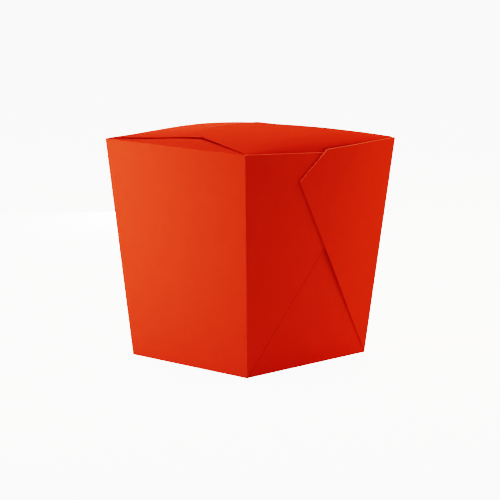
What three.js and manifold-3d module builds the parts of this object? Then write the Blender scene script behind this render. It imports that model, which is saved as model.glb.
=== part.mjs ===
// A shut noodle takeaway box, folded from one sheet of coated paperboard.
// Millimetres, +Z up, origin at the centre of the base. The two plain walls face -Y and +Y.
// The two gusset walls face +X and -X: each carries a pair of folded ears, one lapping the other.
// The box can't be seen into, so it is one solid with its folds, laps and free edges as real relief.

import * as THREE from 'three';
import { mergeVertices } from 'three/addons/utils/BufferGeometryUtils.js';
import Module from 'manifold-3d';

// Overall sizes, measured over the ears.
const RIM_HEIGHT = 102;
const BASE_X = 73.4;
const BASE_Y = 81.3;
const RIM_X = 88.2;
const RIM_Y = 102.8;

// Paperboard. An ear is the board doubled back on itself, and pinched thinner at its foot.
const BOARD = 0.4;
const EAR_AT_RIM = 2 * BOARD;
const EAR_AT_FOOT = BOARD;
const EAR_ROOT = 1;

// Ears. Angles are in degrees: the fold from the vertical, the cut top edge from the level.
// Each reaches from its own corner to this far past the wall's middle.
const LAPPED_EAR = { fold: 40.6, drop: 3.3, reach: 12, tipHeight: 64, lift: 0 };
const LAPPING_EAR = { fold: 32.7, drop: 1.9, reach: -2.4, tipHeight: 86.8, lift: 1 };

// Lid: its long flaps bow up between their creases to a ridge along the slit.
const LID_RISE = 4.7;
const BOW_ACROSS = 2.3;
const BOW_SHOULDER = 8;
const RIDGE_AT = -0.3;
const OVER_FLAP_FALL = 0.3;
const UNDER_FLAP_FALL = 0.25;
const LID_GRID_X = 24;
const LID_GRID_Y = 28;

// Under the long flaps: low side flaps where they show, and solid up to the flaps further in.
const SIDE_FLAP_LEVEL = 0.6;
const SIDE_FLAP_FROM = 0.6;
const CORE_LEVEL = 0.95;
const CORE_TO = 0.3;
const FLAP_SEAT = 0.3;
const CREASE_BEAD = 0.12;

// Outlines of the long flaps in plan.
const CORNER_RELIEF = 0.6;
const SHOULDER_X = 0;
const SHOULDER_Y = 33.7;
const UNDER_FLAP_REACH = 9;
const SLIT_X = -13.2;
const TONGUE_HALF_WIDTH = 15;
const TONGUE_CORNER = 3;

// Lip of the slit, lifted by the tongue that passes under it.
const LIP_LIFT = BOARD + 0.25;
const LIP_LENGTH = 12;

const BOARD_RED = 0xd63a1a;

// Half widths of the wall panels under the ears.
const PANEL_BASE_X = BASE_X / 2 - EAR_AT_FOOT;
const PANEL_RIM_X = RIM_X / 2 - EAR_AT_RIM;
const HALF_BASE_Y = BASE_Y / 2;
const HALF_RIM_Y = RIM_Y / 2;

const { degToRad, lerp, smoothstep } = THREE.MathUtils;
const wasm = await Module();
wasm.setup();

function solidOf(geometry) {
  geometry.deleteAttribute('normal');
  geometry.deleteAttribute('uv');
  const merged = mergeVertices(geometry, 1e-4);
  const mesh = new wasm.Mesh({
    numProp: 3,
    vertProperties: Float32Array.from(merged.attributes.position.array),
    triVerts: Uint32Array.from(merged.index.array),
  });
  return new wasm.Manifold(mesh);
}

// Moves every point of a geometry to place(point), then makes a solid of it.
function shaped(geometry, place) {
  const position = geometry.attributes.position;
  const point = new THREE.Vector3();
  for (let i = 0; i < position.count; i++) {
    point.fromBufferAttribute(position, i);
    position.setXYZ(i, ...place(point));
  }
  return solidOf(geometry);
}

// Half width across a gusset wall at a height, and how far from the middle the ears lie.
function cornerEdge(height) {
  return lerp(HALF_BASE_Y, HALF_RIM_Y, height / RIM_HEIGHT);
}

function earPlane(height) {
  return lerp(BASE_X / 2, RIM_X / 2, height / RIM_HEIGHT);
}

// Rise of the lid above its creases. u and v run from -1 to 1 across X and Y.
function bow(u, v) {
  const toCrease = u > RIDGE_AT ? (u - RIDGE_AT) / (1 - RIDGE_AT) : (RIDGE_AT - u) / (1 + RIDGE_AT);
  const fall = (u > RIDGE_AT ? OVER_FLAP_FALL : UNDER_FLAP_FALL) * toCrease;
  const along = (1 - fall) * (1 - Math.abs(u) ** BOW_SHOULDER);
  return LID_RISE * along * (1 - Math.abs(v) ** BOW_ACROSS);
}

function overFlapTop(u, v) {
  return RIM_HEIGHT + BOARD + bow(u, v);
}

// The under flap leaves its crease level with the other, and passes a board's thickness below it.
function underFlapTop(u, v) {
  return RIM_HEIGHT + BOARD * (1 - smoothstep(u, -1, -0.7)) + bow(u, v);
}

function coreTop(u, v) {
  const low = smoothstep(Math.abs(v), CORE_TO, SIDE_FLAP_FROM);
  return RIM_HEIGHT + lerp(CORE_LEVEL, SIDE_FLAP_LEVEL, low) * bow(u, v);
}

// Walls, base and side flaps: one block from the base up to the side flaps' surface.
function core() {
  const block = new THREE.BoxGeometry(2, 2, 2, LID_GRID_X, LID_GRID_Y, 1);
  return shaped(block, ({ x: u, y: v, z }) => {
    if (z < 0) return [u * PANEL_BASE_X, v * HALF_BASE_Y, 0];
    return [u * PANEL_RIM_X, v * HALF_RIM_Y, coreTop(u, v)];
  });
}

// A bowed sheet over the whole lid, seated a little into what is below it, cut to an outline.
function flap(outline, topAt) {
  const sheet = new THREE.BoxGeometry(2, 2, 2, LID_GRID_X, LID_GRID_Y, 1);
  const bowed = shaped(sheet, ({ x: u, y: v, z }) => {
    const height = topAt(u, v) - (z < 0 ? BOARD + FLAP_SEAT : 0);
    return [u * (PANEL_RIM_X + CREASE_BEAD), v * HALF_RIM_Y, height];
  });
  const cutter = new THREE.ExtrudeGeometry(outline, {
    depth: 4 * LID_RISE,
    bevelEnabled: false,
    curveSegments: 4,
  });
  cutter.translate(0, 0, RIM_HEIGHT - LID_RISE);
  return bowed.intersect(solidOf(cutter));
}

// The flap on top: straight side edges to its shoulders, then chamfers down to the tongue.
function overFlapOutline() {
  const hinge = PANEL_RIM_X + 1;
  const hingeHalf = HALF_RIM_Y - CORNER_RELIEF;
  const chamferEnd = TONGUE_HALF_WIDTH + TONGUE_CORNER;
  const slitEnd = TONGUE_HALF_WIDTH - TONGUE_CORNER;
  const outline = new THREE.Shape();
  outline.moveTo(hinge, -hingeHalf);
  outline.lineTo(hinge, hingeHalf);
  outline.lineTo(PANEL_RIM_X, hingeHalf);
  outline.lineTo(SHOULDER_X, SHOULDER_Y);
  outline.lineTo(SLIT_X + TONGUE_CORNER, chamferEnd);
  outline.quadraticCurveTo(SLIT_X, TONGUE_HALF_WIDTH, SLIT_X, slitEnd);
  outline.lineTo(SLIT_X, -slitEnd);
  outline.quadraticCurveTo(SLIT_X, -TONGUE_HALF_WIDTH, SLIT_X + TONGUE_CORNER, -chamferEnd);
  outline.lineTo(SHOULDER_X, -SHOULDER_Y);
  outline.lineTo(PANEL_RIM_X, -hingeHalf);
  return outline;
}

// The flap below it: the same side edges from the other crease, and a straight end out of sight.
function underFlapOutline() {
  const hinge = -PANEL_RIM_X - 1;
  const hingeHalf = HALF_RIM_Y - CORNER_RELIEF;
  const endHalf = SHOULDER_Y - UNDER_FLAP_REACH;
  return new THREE.Shape([
    new THREE.Vector2(hinge, hingeHalf),
    new THREE.Vector2(hinge, -hingeHalf),
    new THREE.Vector2(-PANEL_RIM_X, -hingeHalf),
    new THREE.Vector2(SHOULDER_X, -SHOULDER_Y),
    new THREE.Vector2(UNDER_FLAP_REACH, -endHalf),
    new THREE.Vector2(UNDER_FLAP_REACH, endHalf),
    new THREE.Vector2(SHOULDER_X, SHOULDER_Y),
    new THREE.Vector2(-PANEL_RIM_X, hingeHalf),
  ]);
}

// The under flap beyond the slit: highest at the middle of the slit, and level at its other sides.
function slitLip() {
  const patch = new THREE.BoxGeometry(2, 2, 2, 6, 14, 1);
  return shaped(patch, ({ x: along, y: across, z }) => {
    const back = (1 - along) / 2;
    const x = SLIT_X - back * LIP_LENGTH;
    const y = across * TONGUE_HALF_WIDTH;
    const top = underFlapTop(x / PANEL_RIM_X, y / HALF_RIM_Y);
    const lift = LIP_LIFT * (1 - across * across) ** 2 * (1 - back) ** 2;
    return [x, y, z < 0 ? top - BOARD : top + lift];
  });
}

// Outline of an ear on the wall, from its own corner (side -1 or 1) to past the wall's middle.
function earOutline(ear, side) {
  const tipAcross = HALF_BASE_Y - ear.tipHeight * Math.tan(degToRad(ear.fold));
  const endTop = RIM_HEIGHT - (HALF_RIM_Y + ear.reach) * Math.tan(degToRad(ear.drop));
  return new THREE.Shape([
    new THREE.Vector2(side * HALF_BASE_Y, 0),
    new THREE.Vector2(side * HALF_RIM_Y, RIM_HEIGHT),
    new THREE.Vector2(side * -ear.reach, endTop),
    new THREE.Vector2(side * tipAcross, ear.tipHeight),
  ]);
}

// An ear stands on its wall panel, and leans outwards from its own corner to its tip.
function earSolid(ear, side) {
  const tipAcross = HALF_BASE_Y - ear.tipHeight * Math.tan(degToRad(ear.fold));
  const tipFromCorner = cornerEdge(ear.tipHeight) - tipAcross;
  const slab = new THREE.ExtrudeGeometry(earOutline(ear, side), { depth: 1, bevelEnabled: false });
  return shaped(slab, ({ x: across, y: height, z: outer }) => {
    if (outer === 0) return [earPlane(height) - EAR_AT_RIM - EAR_ROOT, across, height];
    const fromCorner = cornerEdge(height) - side * across;
    return [earPlane(height) + (ear.lift * fromCorner) / tipFromCorner, across, height];
  });
}

function gussetEars() {
  return earSolid(LAPPED_EAR, -1).add(earSolid(LAPPING_EAR, 1));
}

function meshOf(manifold, name, color) {
  const { vertProperties, triVerts } = manifold.getMesh();
  const geometry = new THREE.BufferGeometry();
  geometry.setAttribute('position', new THREE.BufferAttribute(vertProperties, 3));
  geometry.setIndex(new THREE.BufferAttribute(triVerts, 1));
  geometry.computeVertexNormals();
  const material = new THREE.MeshStandardMaterial({ color, roughness: 0.5, metalness: 0 });
  const mesh = new THREE.Mesh(geometry, material);
  mesh.name = name;
  return mesh;
}

const carton = core()
  .add(gussetEars())
  .add(gussetEars().rotate([0, 0, 180]))
  .add(flap(underFlapOutline(), underFlapTop))
  .add(slitLip())
  .add(flap(overFlapOutline(), overFlapTop));

const group = new THREE.Group();
group.add(meshOf(carton, 'carton', BOARD_RED));

export default group;
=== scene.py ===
# A shut noodle takeaway box, folded from one sheet of coated paperboard with its lid tucked in.
# The sheet is remade as three thin pieces: a long strip, and two plain walls with their ears.
from math import cos, pi, radians, sin, tan

import bmesh
import bpy
from mathutils import Matrix, Vector


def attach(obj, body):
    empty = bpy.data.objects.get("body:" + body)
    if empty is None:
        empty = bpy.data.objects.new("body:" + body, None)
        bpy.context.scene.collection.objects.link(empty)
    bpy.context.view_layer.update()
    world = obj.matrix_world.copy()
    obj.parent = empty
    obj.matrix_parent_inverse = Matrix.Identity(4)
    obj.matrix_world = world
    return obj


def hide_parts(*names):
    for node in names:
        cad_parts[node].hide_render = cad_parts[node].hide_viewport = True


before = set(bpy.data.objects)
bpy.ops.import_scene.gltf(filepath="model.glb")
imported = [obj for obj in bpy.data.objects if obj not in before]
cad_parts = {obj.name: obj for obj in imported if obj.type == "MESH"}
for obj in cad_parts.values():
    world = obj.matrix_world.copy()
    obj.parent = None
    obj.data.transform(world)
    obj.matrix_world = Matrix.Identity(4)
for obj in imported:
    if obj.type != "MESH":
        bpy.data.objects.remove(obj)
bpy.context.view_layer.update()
bpy.ops.object.select_all(action="DESELECT")

MM = 0.001

# Camera. It stands a metre off the corner between a plain wall and a gusset wall, a little above
# the rim, with a long lens, so that the walls' edges hardly converge.
CAMERA_AT = Vector((706.12, -764.84, 220.46)) * MM
CAMERA_TURN = radians(42.72)
CAMERA_DIP = radians(9.339)
CAMERA_ROLL = radians(0.568)
CAMERA_LENS = 162.8

bpy.ops.object.camera_add(location=CAMERA_AT)
camera = bpy.context.object
turned = Matrix.Rotation(CAMERA_TURN, 3, "Z") @ Matrix.Rotation(pi / 2 - CAMERA_DIP, 3, "X")
camera.rotation_euler = (turned @ Matrix.Rotation(CAMERA_ROLL, 3, "Z")).to_euler()
camera.data.lens = CAMERA_LENS
bpy.context.scene.camera = camera

# Studio. A seamless white sweep and lamps of a packshot table: two small ones close to the front
# wall, two that graze the gusset wall and the lid from their far ends, soft ones above and behind for
# the lid, a narrow one that picks out the slit, a weak red fill, and one low behind for the far walls.
# The floor and the surround also glow, for the camera alone, so that they show near-white.
FLOOR_SIZE = 12
FLOOR_LEVEL = 3.5
SURROUND_LEVEL = 4
CARD_WHITE = 0.85
LAMPS = {
    # name: (place and aim in millimetres, size in millimetres, spread in degrees, watts, colour)
    "key": ((-100, -170, 100), (0, 0, 60), 60, 180, 0.189, (0.87, 0.98, 1)),
    "low front": ((-60, -220, 80), (0, 0, 50), 80, 180, 0.132, (0.86, 1, 0.36)),
    "grazing side": ((115, 150, 85), (0, 0, 50), 100, 180, 0.165, (1, 0.72, 0.32)),
    "grazing top": ((60, 200, 150), (0, 0, 100), 60, 180, 0.206, (1, 0.25, 0.25)),
    "top": ((0, 0, 700), (0, 0, 100), 400, 180, 1.65, (0.87, 1, 0.68)),
    "back top": ((-150, 500, 450), (0, 0, 100), 500, 180, 1.99, (1, 0.81, 0.25)),
    "over the slit": ((-92, -12, 138), (-10, 0, 108), 44, 90, 0.027, (0.96, 1, 1)),
    "fill": ((248, -429, 545), (0, 0, 50), 120, 180, 1.6, (1, 0.1, 0.1)),
    "low back": ((-350, 300, 50), (0, 0, 50), 90, 180, 1.5, (0.9, 0.98, 0.9)),
}


def linear(colour):
    """The linear colour of an sRGB hex value."""
    parts = [int(colour[i : i + 2], 16) / 255 for i in (1, 3, 5)]
    return [c / 12.92 if c < 0.04045 else ((c + 0.055) / 1.055) ** 2.4 for c in parts] + [1]


def add_node(material, kind, settings={}, links={}):
    """Adds a node, sets its properties and sockets, and links its inputs to the given outputs."""
    node = material.node_tree.nodes.new(kind)
    for name, value in settings.items():
        if isinstance(name, int) or name in node.inputs:
            node.inputs[name].default_value = value
        else:
            setattr(node, name, value)
    for name, output in links.items():
        material.node_tree.links.new(output, node.inputs[name])
    return node


bpy.ops.mesh.primitive_plane_add(size=FLOOR_SIZE)
floor = bpy.context.object
floor.name = "studio_floor"
sweep = bpy.data.materials.new("lit white sweep")
sweep.use_nodes = True
floor.data.materials.append(sweep)
seen = add_node(sweep, "ShaderNodeLightPath").outputs["Is Camera Ray"]
glow = add_node(sweep, "ShaderNodeMath", {"operation": "MULTIPLY", 1: FLOOR_LEVEL}, {0: seen})
card = sweep.node_tree.nodes["Principled BSDF"]
card.inputs["Base Color"].default_value = (CARD_WHITE, CARD_WHITE, CARD_WHITE, 1)
card.inputs["Roughness"].default_value = 1
card.inputs["Specular IOR Level"].default_value = 0
card.inputs["Emission Color"].default_value = (1, 1, 1, 1)
sweep.node_tree.links.new(glow.outputs["Value"], card.inputs["Emission Strength"])

for lamp_name, (place, aim, size, spread, watts, colour) in LAMPS.items():
    bpy.ops.object.light_add(type="AREA", location=Vector(place) * MM)
    lamp = bpy.context.object
    lamp.name = lamp_name
    lamp.data.size = size * MM
    lamp.data.spread = radians(spread)
    lamp.data.energy = watts
    lamp.data.color = colour
    lamp.rotation_euler = (Vector(place) - Vector(aim)).to_track_quat("Z", "Y").to_euler()

surround = bpy.data.worlds.new("white surround")
surround.use_nodes = True
seen = add_node(surround, "ShaderNodeLightPath").outputs["Is Camera Ray"]
glow = add_node(surround, "ShaderNodeMapRange", {"To Min": 0, "To Max": SURROUND_LEVEL}, {"Value": seen})
backdrop = surround.node_tree.nodes["Background"]
backdrop.inputs["Color"].default_value = (1, 1, 1, 1)
surround.node_tree.links.new(glow.outputs["Result"], backdrop.inputs["Strength"])
bpy.context.scene.world = surround
bpy.context.scene.view_settings.view_transform = "Filmic"
bpy.context.scene.view_settings.look = "Very High Contrast"

# Long strip of the sheet: the base in the middle, a gusset wall folded up at each end, and the two
# long lid flaps folded in from them. The over flap ends in a tongue that passes down through a
# slit in the under flap.
RIM = 102
BOARD = 0.37
PITCH = 0.4
EDGE_EASE = 0.12
EASED_FROM = radians(55)
PANEL_BASE_X, PANEL_RIM_X = 36.3, 43.3
HALF_BASE_Y, HALF_RIM_Y = 40.65, 51.4
HINGE = RIM + PITCH
HINGE_RADIUS = 1.5
HINGE_STEPS = 6
CREASE_RADIUS = 0.4
CREASE_STEPS = 4
LID_FROM = HINGE - 1.2 * HINGE_RADIUS
SLIT_X = -13.2
SLIT_HALF = 16
SLIT_SQUARENESS = 6
SLIT_EDGE_HIGHLIGHT_REACH = 0.3
HINGE_END_Y = 50.8
SHOULDER_Y = 33.7
OVER_FLAP = ((PANEL_RIM_X, HINGE_END_Y), (0, SHOULDER_Y), (-10.2, 18), (-12.4, 14), (SLIT_X, 12))
TONGUE = ((SLIT_X, 12), (-22, 11.9), (-26, 7))
UNDER_FLAP = ((-PANEL_RIM_X, HINGE_END_Y), (0, SHOULDER_Y), (9, 24.7))
UNDER_FLAP_STEP = -26
TONGUE_DIP = 0.95
TONGUE_BEND = (-1.4, 0.8)
LIP_LIFT = 0.45
LIP_LENGTH = 14
SILL_DIP = 0.7
SILL_LENGTH = 6
TOUCH = 0.01
MERGE_WITHIN = 0.001

# Where the long flaps are scored to bend: across, along from the slit, and close beside the slit.
SCORES_ACROSS = range(-50, 51, 2)
SCORES_ALONG = range(-22, 55, 2)
SLIT_SCORES = (-1.2, -0.7, 0.7, 1.4)

# Bow of the lid, whose rise falls away from a ridge at the slit. Its places are shares of the half
# widths, and a run is the stretch over which a change comes in.
LID_RISE = 4.57
RIDGE_AT = -0.305
OVER_FLAP_FALL, UNDER_FLAP_FALL = 0.25, 0.3
CREST, CREST_WIDTH = 0.07, 14
BOW_SHOULDER = 12
BOW_ACROSS = 2.3
FLATTER_UNDER_FLAP, FLATTER_RUN = 0.65, (0.1, 0.6)
FULLER_FAR_HALF, FULLER_RUN_X, FULLER_RUN_Y = 0.9, (-0.2, 0.4), (0, 0.5)


def pick(piece, kind, inside):
    """Selects the vertices, edges or faces whose corners are all inside, in millimetres."""
    bpy.ops.mesh.select_mode(type=kind)
    bpy.ops.mesh.select_all(action="DESELECT")
    mesh = bmesh.from_edit_mesh(piece.data)
    for item in {"VERT": mesh.verts, "EDGE": mesh.edges, "FACE": mesh.faces}[kind]:
        corners = [item] if kind == "VERT" else item.verts
        if all(inside(corner.co / MM) for corner in corners):
            item.select_set(True)
    mesh.select_flush_mode()
    bmesh.update_edit_mesh(piece.data)


def draw_out(step):
    """Extrudes what is selected by a step in millimetres."""
    bpy.ops.mesh.extrude_region_move(TRANSFORM_OT_translate={"value": Vector(step) * MM})


def score(piece, inside, through, across):
    """Scores the faces that are inside along a plane, so that they can bend there."""
    pick(piece, "FACE", inside)
    normal = Vector(across).normalized()
    bpy.ops.mesh.bisect(plane_co=Vector(through) * MM, plane_no=normal, threshold=MERGE_WITHIN * MM)


def score_rows(piece, inside, places, across):
    """Scores the faces that are inside at each place along an axis."""
    for place in places:
        score(piece, inside, Vector(across) * place, across)


def cut(piece, inside, through, away):
    """Cuts the faces that are inside along a plane, and removes what lies on its away side."""
    score(piece, inside, through, away)
    beyond = lambda p: (p - Vector(through)).dot(Vector(away).normalized()) > -TOUCH
    pick(piece, "FACE", lambda p: inside(p) and beyond(p))
    bpy.ops.mesh.delete(type="FACE")


def trim(piece, inside, outline):
    """Trims both sides of a flap to an outline, given from its hinge to its end."""
    for (x, y), (next_x, next_y) in zip(outline, outline[1:]):
        for hand in (1, -1):
            away = ((next_y - y) * (1 if x > next_x else -1), abs(next_x - x) * hand, 0)
            cut(piece, inside, (x, y * hand, 0), away)


def round_crease(piece, inside, radius, steps):
    """Rounds the creases whose ends are inside."""
    pick(piece, "EDGE", inside)
    bpy.ops.mesh.bevel(offset=radius * MM, segments=steps, affect="EDGES")


def move_picked(piece, step_at):
    """Moves each selected point by a step, in millimetres, that depends on where it is."""
    mesh = bmesh.from_edit_mesh(piece.data)
    for corner in mesh.verts:
        if corner.select:
            corner.co += Vector(step_at(corner.co / MM)) * MM
    bmesh.update_edit_mesh(piece.data)


def give_thickness(piece, edge_finish):
    """Thickens a folded sheet inwards, eases its cut edges, and keeps its panels flat in the light."""
    bpy.ops.object.mode_set(mode="OBJECT")
    bpy.ops.object.modifier_add(type="SOLIDIFY")
    board = piece.modifiers[-1]
    board.thickness = BOARD * MM
    board.offset = -1
    board.material_offset_rim = edge_finish
    bpy.ops.object.modifier_apply(modifier=board.name)
    bpy.ops.object.modifier_add(type="BEVEL")
    eased = piece.modifiers[-1]
    eased.width = EDGE_EASE * MM
    eased.segments = 2
    eased.angle_limit = EASED_FROM
    eased.use_clamp_overlap = False
    eased.material = edge_finish
    bpy.ops.object.modifier_apply(modifier=eased.name)
    bpy.ops.object.shade_smooth()
    bpy.ops.object.modifier_add(type="WEIGHTED_NORMAL")
    bpy.ops.object.modifier_apply(modifier=piece.modifiers[-1].name)


def ramp(value, first, last):
    """0 up to first, 1 from last, and smooth between them."""
    share = min(1, max(0, (value - first) / (last - first)))
    return share * share * (3 - 2 * share)


def bow(p):
    """How far the shut lid stands above its hinges: highest at the slit, nothing at the rim."""
    u = max(-1, min(1, p.x / PANEL_RIM_X))
    v = max(-1, min(1, p.y / HALF_RIM_Y))
    off_ridge = (u - RIDGE_AT) / (1 - RIDGE_AT if u > RIDGE_AT else -1 - RIDGE_AT)
    fall = (OVER_FLAP_FALL if u > RIDGE_AT else UNDER_FLAP_FALL) * off_ridge
    crest = CREST * max(0, 1 - abs(p.x - SLIT_X) / CREST_WIDTH)
    roundness = BOW_ACROSS - FLATTER_UNDER_FLAP * ramp(-u, *FLATTER_RUN)
    roundness += FULLER_FAR_HALF * ramp(u, *FULLER_RUN_X) * ramp(v, *FULLER_RUN_Y)
    return LID_RISE * (1 + crest - fall) * (1 - abs(u) ** BOW_SHOULDER) * (1 - abs(v) ** roundness)


def slit_gape(p):
    """How far open the slit stands along its length, from 0 at its ends to 1."""
    return 1 - min(1, abs(p.y) / SLIT_HALF) ** SLIT_SQUARENESS


# Pulp of the board: its clouds and its fibres in millimetres, how far the fibres are drawn out along
# the grain, and the spread of the two together. Real fibres are finer, but wouldn't show.
CLOUD_SIZE = 7
FIBRE_SIZE = 0.5
GRAIN_SCALE = (1, 1, 0.4)
PULP_SPREAD = (0.7, 1.3)
TOOTH_STRENGTH = 0.6


def board_material(name, colour, roughness, fleck, tooth):
    """Paperboard: a cloudy pulp with flecks of fibre, whose tooth is its roughness in millimetres."""
    material = bpy.data.materials.new(name)
    material.use_nodes = True
    shader = material.node_tree.nodes["Principled BSDF"]
    shader.inputs["Roughness"].default_value = roughness
    shader.inputs["Specular IOR Level"].default_value = 0
    place = add_node(material, "ShaderNodeTexCoord").outputs["Object"]
    grain = add_node(material, "ShaderNodeMapping", {"Scale": GRAIN_SCALE}, {"Vector": place})
    cloud = add_node(
        material, "ShaderNodeTexNoise", {"Scale": 1 / (CLOUD_SIZE * MM), "Detail": 3}, {"Vector": place}
    )
    fibre = add_node(
        material,
        "ShaderNodeTexNoise",
        {"Scale": 1 / (FIBRE_SIZE * MM), "Detail": 4},
        {"Vector": grain.outputs["Vector"]},
    )
    mottle = add_node(
        material, "ShaderNodeMath", {"operation": "ADD"}, {0: cloud.outputs["Fac"], 1: fibre.outputs["Fac"]}
    )
    value = add_node(
        material,
        "ShaderNodeMapRange",
        {"From Min": PULP_SPREAD[0], "From Max": PULP_SPREAD[1], "To Min": 1 - fleck, "To Max": 1 + fleck},
        {"Value": mottle.outputs["Value"]},
    )
    dye = add_node(
        material, "ShaderNodeHueSaturation", {"Color": linear(colour)}, {"Value": value.outputs["Result"]}
    )
    relief = add_node(
        material,
        "ShaderNodeBump",
        {"Distance": tooth * MM, "Strength": TOOTH_STRENGTH},
        {"Height": fibre.outputs["Fac"]},
    )
    material.node_tree.links.new(dye.outputs["Color"], shader.inputs["Base Color"])
    material.node_tree.links.new(relief.outputs["Normal"], shader.inputs["Normal"])
    return material


# Smooth coated paperboard, dyed tomato red all through; its raw cut edge, lighter for the bare fibres and
# made lighter still as a painted highlight; and a painted-shade finish, a darker red laid on the long
# strip's cut edges and the lapped ear's fold to stand in for the shade under and along them.
FINISHES = (
    board_material("coated red board", "#d44835", 0.55, 0.03, 0.012),
    board_material("raw cut edge of red board with painted highlight", "#ff9484", 0.8, 0.08, 0.03),
    board_material("red board edge with painted shade", "#ac2c18", 0.65, 0.05, 0.02),
)
RAW_EDGE_WITH_HIGHLIGHT, PAINTED_SHADE_EDGE = 1, 2

bpy.ops.mesh.primitive_plane_add(size=1)
strip = bpy.context.object
strip.name = "base_and_gusset_walls"
for finish in FINISHES:
    strip.data.materials.append(finish)
bpy.ops.object.mode_set(mode="EDIT")
half_base = HALF_BASE_Y - PITCH
half_rim = HALF_RIM_Y - PITCH
bpy.ops.transform.resize(value=(2 * PANEL_BASE_X * MM, 2 * half_base * MM, 1))
bpy.ops.mesh.flip_normals()
flat = lambda p: abs(p.z - HINGE) < TOUCH
in_lid = lambda p: p.z > LID_FROM
for side, end in ((1, TONGUE[-1][0]), (-1, UNDER_FLAP[-1][0])):
    at_foot = lambda p: p.x * side > PANEL_BASE_X - TOUCH and p.z < TOUCH
    pick(strip, "EDGE", at_foot)
    draw_out((side * (PANEL_RIM_X - PANEL_BASE_X) * HINGE / RIM, 0, HINGE))
    bpy.ops.transform.resize(value=(1, half_rim / half_base, 1))
    draw_out((end - side * PANEL_RIM_X, 0, 0))
    at_hinge = lambda p: p.x * side > PANEL_RIM_X and p.z > HINGE - TOUCH
    round_crease(strip, at_foot, CREASE_RADIUS, CREASE_STEPS)
    round_crease(strip, at_hinge, HINGE_RADIUS, HINGE_STEPS)
    score_rows(strip, in_lid, SCORES_ACROSS, (0, 1, 0))
    score_rows(strip, flat, [SLIT_X + side * run for run in SCORES_ALONG], (1, 0, 0))
    score_rows(strip, flat, [SLIT_X + run for run in SLIT_SCORES], (1, 0, 0))
    if side > 0:
        trim(strip, lambda p: in_lid(p) and p.x > SLIT_X - TOUCH, OVER_FLAP)
        trim(strip, lambda p: in_lid(p) and p.x < SLIT_X + TOUCH, TONGUE)
        pick(strip, "VERT", in_lid)
        move_picked(strip, lambda p: (0, 0, bow(p) - TONGUE_DIP * ramp(SLIT_X - p.x, *TONGUE_BEND)))
    else:
        trim(strip, in_lid, UNDER_FLAP)
        at_slit = lambda p: in_lid(p) and abs(p.x - SLIT_X) < TOUCH
        pick(strip, "EDGE", lambda p: at_slit(p) and abs(p.y) < SLIT_HALF + TOUCH)
        bpy.ops.mesh.edge_split()
        pick(strip, "FACE", lambda p: in_lid(p) and SLIT_X - LIP_LENGTH - TOUCH < p.x < SLIT_X + TOUCH)
        lift = lambda p: LIP_LIFT * slit_gape(p) * (1 - (SLIT_X - p.x) / LIP_LENGTH) ** 2
        move_picked(strip, lambda p: (0, 0, lift(p)))
        pick(strip, "FACE", lambda p: in_lid(p) and SLIT_X - TOUCH < p.x < SLIT_X + SILL_LENGTH + TOUCH)
        sink = lambda p: SILL_DIP * slit_gape(p) * ramp(SLIT_X - p.x, -SILL_LENGTH, 0)
        move_picked(strip, lambda p: (0, 0, -sink(p)))
        pick(strip, "VERT", in_lid)
        move_picked(strip, lambda p: (0, 0, bow(p) - PITCH * ramp(p.x, UNDER_FLAP_STEP, SLIT_X)))
    pick(strip, "FACE", in_lid)
    bpy.ops.mesh.hide()
bpy.ops.mesh.reveal(select=False)
# The strip's cut edges take the painted-shade finish, a darker red standing in for the shadow under the lid
# flaps' edges.
give_thickness(strip, PAINTED_SHADE_EDGE)
bpy.ops.object.mode_set(mode="EDIT")
# Faces beside the slit take the raw-edge finish, lighter for bare fibre and lighter still as a painted
# highlight.
pick(strip, "FACE", lambda p: in_lid(p) and abs(p.x - SLIT_X) < SLIT_EDGE_HIGHLIGHT_REACH)
strip.active_material_index = RAW_EDGE_WITH_HIGHLIGHT
bpy.ops.object.material_slot_assign()
bpy.ops.object.mode_set(mode="OBJECT")
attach(strip, "root")
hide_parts("carton")

# Plain walls, one in front and one behind. Each is a sheet with an ear at either side, doubled back
# on itself, and a low lid flap on top. Of its ears one is lapped by its neighbour and one laps it.
# A zone is how near a point has to lie to count, and a run is the stretch where a lift or gap grows.
BASE_X, RIM_X = 36.7, 44.1
FLARE_X = (RIM_X - BASE_X) / RIM
FLARE_Y = (HALF_RIM_Y - HALF_BASE_Y) / RIM
EAR_DEPTH = 0.76
EAR_STOCK = 78
EAR_SCORES = range(6, 61, 6)
EAR_ZONE = 1
EAR_PINCH, EAR_PINCH_RUN = 0.5, (CREASE_RADIUS, 5)
FOLD_RADIUS = 0.49 * EAR_DEPTH
FOLD_STEPS = 3
FOLD_ZONE = 0.1
LAPPING_EAR_LIFT, LIFT_RUN = 0.72, (8, 36)
LAPPED_EAR_SINK, SINK_RUN = 0.03, (0, 36)
LAPPED_EAR_SWELL, SWELL_FADE = 0.048, (35, 62)
SIDE_FLAP_REACH = 30
SIDE_FLAP_END_TURN = 0.4
SIDE_FLAP_SCORES_ACROSS = range(-50, -21, 2)
SIDE_FLAP_SCORES_ALONG = range(-42, 43, 3)
SIDE_FLAP_LEVEL = 0.6
SIDE_FLAP_SPRING, SPRING_RUN = 0.3, (0, 9)
SIDE_FLAP_SAG, SAG_RUN = 0.16, (0, 8)
SIDE_FLAP_GAP, GAP_RUN = 0.06, (0.5, 3)
LAPPED_EAR = {"side": 1, "fold": radians(40.6), "drop": radians(3.3), "end": 12, "tip": 64}
LAPPING_EAR = {"side": -1, "fold": radians(32.7), "drop": radians(1.9), "end": -2.4, "tip": 86.8}


def ear_plane(z):
    """How far from the middle the ears lie, at a height."""
    return BASE_X + FLARE_X * z


def corner_y(z):
    """How far from the middle a plain wall stands, at a height."""
    return HALF_BASE_Y + FLARE_Y * z


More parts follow.
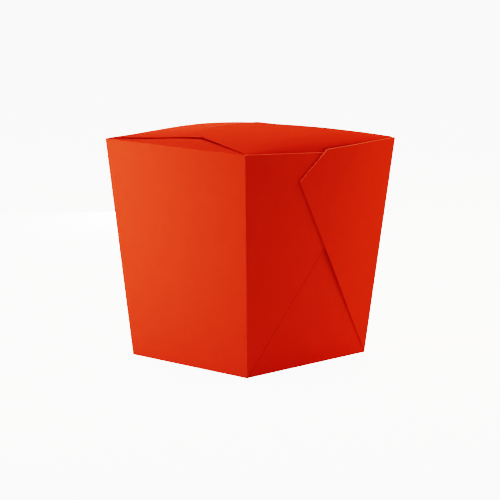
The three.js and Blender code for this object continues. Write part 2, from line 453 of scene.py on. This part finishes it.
def fold_ear(wall, ear):
    """Trims an ear along its slanting fold, doubles it back there, and cuts its top and end."""
    side = ear["side"]
    foot = Vector((0, -HALF_BASE_Y, 0))
    tip = Vector((0, -HALF_BASE_Y + ear["tip"] * tan(ear["fold"]), ear["tip"]))
    end = Vector((0, ear["end"], RIM - (HALF_RIM_Y + ear["end"]) * tan(ear["drop"])))
    off_fold = Vector((0, cos(ear["fold"]), -sin(ear["fold"])))
    depth = lambda p: ear_plane(p.z) - p.x * side
    on_ear = lambda p: depth(p) < 2 * EAR_DEPTH and p.y + corner_y(p.z) > CREASE_RADIUS - TOUCH
    from_fold = lambda p: abs((p - foot).dot(off_fold))

    cut(wall, on_ear, foot, off_fold)
    pick(wall, "EDGE", lambda p: on_ear(p) and from_fold(p) < TOUCH)
    draw_out(Vector((-side, 0, FLARE_X)).normalized() * EAR_DEPTH)
    rise = EAR_STOCK * sin(ear["fold"])
    draw_out((side * FLARE_X * rise, -EAR_STOCK * cos(ear["fold"]), rise))
    doubled = lambda p: EAR_DEPTH / 2 < depth(p) < 2 * EAR_DEPTH
    cut(wall, doubled, foot + Vector((0, 1, 0)), (0, -1, -FLARE_Y))
    cut(wall, on_ear, (0, -HALF_RIM_Y, RIM), (0, sin(ear["drop"]), cos(ear["drop"])))
    cut(wall, on_ear, tip, (0, end.z - tip.z, tip.y - end.y))
    round_crease(wall, lambda p: on_ear(p) and from_fold(p) < FOLD_ZONE, FOLD_RADIUS, FOLD_STEPS)
    # The lapped ear's fold gets the painted-shade finish, a darker red standing in for the shade along the
    # fold.
    if side > 0:
        pick(wall, "FACE", lambda p: on_ear(p) and from_fold(p) < EAR_DEPTH / 2)
        wall.active_material_index = PAINTED_SHADE_EDGE
        bpy.ops.object.material_slot_assign()
    for run in EAR_SCORES:
        score(wall, on_ear, foot + Vector((0, run, 0)), (0, 1, FLARE_Y))


def settle_ear(p, facing):
    """Pinches the ears at their feet, lifts the lapping one, and swells the one that it laps."""
    run = corner_y(p.z) - facing * p.y
    turn = 1 if p.x > 0 else -1
    pinch = EAR_PINCH * (ear_plane(p.z) - abs(p.x)) * (1 - p.z / RIM) * ramp(run, *EAR_PINCH_RUN)
    if p.x * facing > 0:
        lift = LAPPING_EAR_LIFT * ramp(run, *LIFT_RUN)
    else:
        width = max(1, p.z * (tan(LAPPED_EAR["fold"]) + FLARE_Y))
        swell = LAPPED_EAR_SWELL * run * max(0, 1 - run / width) * (1 - ramp(p.z, *SWELL_FADE))
        lift = swell - LAPPED_EAR_SINK * ramp(run, *SINK_RUN)
    return (turn * (pinch + lift), 0, -FLARE_X * lift)


bpy.ops.mesh.primitive_plane_add(size=1, rotation=(pi / 2, 0, 0))
bpy.ops.object.transform_apply(rotation=True)
front_wall = bpy.context.object
front_wall.name = "front_wall"
for finish in FINISHES:
    front_wall.data.materials.append(finish)
bpy.ops.object.mode_set(mode="EDIT")
bpy.ops.transform.resize(value=(2 * BASE_X * MM, 1, RIM * MM))
bpy.ops.transform.translate(value=(0, -HALF_BASE_Y * MM, RIM / 2 * MM))
pick(front_wall, "EDGE", lambda p: p.z > RIM - TOUCH)
bpy.ops.transform.resize(value=(RIM_X / BASE_X, 1, 1), center_override=(0, 0, 0))
bpy.ops.transform.translate(value=(0, (HALF_BASE_Y - HALF_RIM_Y) * MM, 0))
for side in (1, -1):
    pick(front_wall, "EDGE", lambda p: p.x * side > BASE_X - TOUCH)
    draw_out((0, EAR_STOCK, 0))
corners = lambda p: p.y + corner_y(p.z) < TOUCH and abs(p.x) > ear_plane(p.z) - TOUCH
for side in (1, -1):
    round_crease(front_wall, lambda p: corners(p) and p.x * side > 0, CREASE_RADIUS, CREASE_STEPS)
for ear in (LAPPED_EAR, LAPPING_EAR):
    fold_ear(front_wall, ear)
at_rim = lambda p: p.z > RIM - TOUCH and p.y < -HALF_RIM_Y + TOUCH
pick(front_wall, "EDGE", at_rim)
draw_out((0, SIDE_FLAP_REACH, 0))
round_crease(front_wall, at_rim, CREASE_RADIUS, CREASE_STEPS)
in_flap = lambda p: p.z > RIM - CREASE_RADIUS - TOUCH and abs(p.x) < RIM_X - CREASE_RADIUS + TOUCH
flap_top = lambda p: in_flap(p) and p.z > RIM - TOUCH
for side in (1, -1):
    end_corner = (side * (RIM_X - CREASE_RADIUS), -HALF_RIM_Y + CREASE_RADIUS, 0)
    away = (side * cos(SIDE_FLAP_END_TURN), sin(SIDE_FLAP_END_TURN), 0)
    cut(front_wall, flap_top, end_corner, away)
score_rows(front_wall, flap_top, SIDE_FLAP_SCORES_ACROSS, (0, 1, 0))
score_rows(front_wall, in_flap, SIDE_FLAP_SCORES_ALONG, (1, 0, 0))
pick(front_wall, "VERT", in_flap)
from_rim = lambda p: HALF_RIM_Y - abs(p.y)
past_lid = lambda p: abs(p.y) - SHOULDER_Y - (HINGE_END_Y - SHOULDER_Y) * abs(p.x) / PANEL_RIM_X
sag = lambda p: SIDE_FLAP_SAG * (1 - ramp(past_lid(p), *SAG_RUN))
level = lambda p: SIDE_FLAP_LEVEL + (SIDE_FLAP_SPRING - sag(p)) * ramp(from_rim(p), *SPRING_RUN)
gap = lambda p: SIDE_FLAP_GAP * ramp(from_rim(p), *GAP_RUN)
move_picked(front_wall, lambda p: (0, 0, level(p) * bow(p) - gap(p)))
bpy.ops.object.mode_set(mode="OBJECT")

# The back wall is the front one turned half a turn. Both get their thickness where they stand.
bpy.ops.object.duplicate()
back_wall = bpy.context.object
back_wall.name = "back_wall"
back_wall.rotation_euler.z = pi
bpy.ops.object.transform_apply(rotation=True)
for wall, facing in ((front_wall, -1), (back_wall, 1)):
    bpy.ops.object.select_all(action="DESELECT")
    wall.select_set(True)
    bpy.context.view_layer.objects.active = wall
    # The walls' cut edges take the raw-edge finish, lighter for bare fibre and lighter still as a painted
    # highlight.
    give_thickness(wall, RAW_EDGE_WITH_HIGHLIGHT)
    bpy.ops.object.mode_set(mode="EDIT")
    off_corner = lambda p: corner_y(p.z) - facing * p.y > CREASE_RADIUS
    ears = lambda p: ear_plane(p.z) - abs(p.x) < EAR_ZONE and off_corner(p)
    pick(wall, "VERT", ears)
    move_picked(wall, lambda p: settle_ear(p, facing))
    # Nothing stands out past the rim or below the base.
    pick(wall, "VERT", lambda p: abs(p.y) > HALF_RIM_Y)
    move_picked(wall, lambda p: (0, facing * HALF_RIM_Y - p.y, 0))
    pick(wall, "VERT", lambda p: p.z < 0)
    move_picked(wall, lambda p: (0, 0, -p.z))
    bpy.ops.object.mode_set(mode="OBJECT")
    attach(wall, "root")
    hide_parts("carton")
